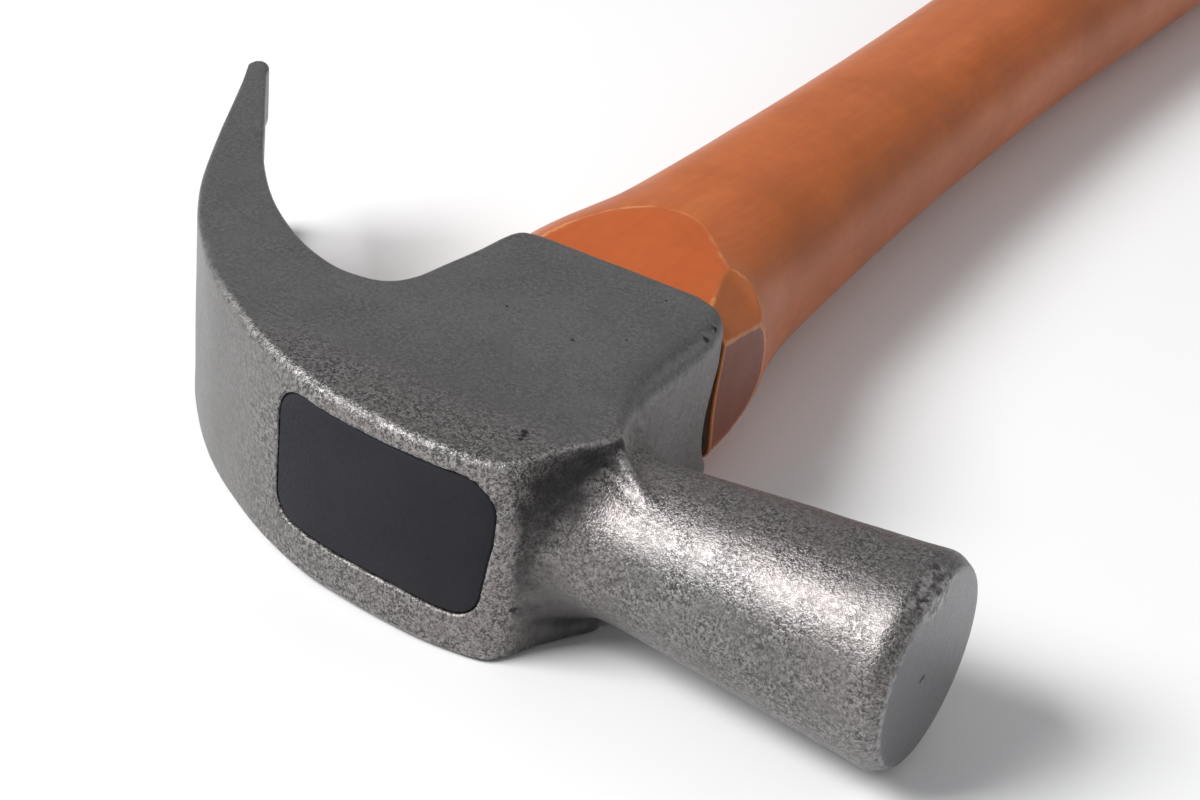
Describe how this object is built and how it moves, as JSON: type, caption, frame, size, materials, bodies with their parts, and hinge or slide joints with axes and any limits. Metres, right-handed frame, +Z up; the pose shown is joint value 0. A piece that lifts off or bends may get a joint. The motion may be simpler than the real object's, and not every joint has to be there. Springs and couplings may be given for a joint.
{
  "type": "claw hammer",
  "caption": "Claw hammer with a forged steel head, a curved split claw, a round striking face and an oval wooden handle wedged and sealed in the eye.",
  "frame": {"origin": "centre of the underside of the bounding box, on the plane that the hammer lies on", "axes": "+Y along the handle from the head towards the butt, +X towards the striking face, +Z up through the cheeks of the head as it lies on its side"},
  "size_m": [0.138, 0.33, 0.0284],
  "materials": {
    "head_steel": "shot-blasted dark grey forged steel, the striking face ground smooth",
    "handle_wood": "orange-brown clear lacquer over straight-grained hardwood",
    "seal": "matte charcoal",
    "wedge_wood": "bare hardwood",
    "wedge_steel": "bare steel"
  },
  "bodies": {
    "root": {"hammer_head": "head_steel", "handle": "handle_wood", "eye_seal": "seal", "wood_wedge": "wedge_wood", "steel_wedge_front": "wedge_steel", "steel_wedge_rear": "wedge_steel"}
  },
  "joints": []
}
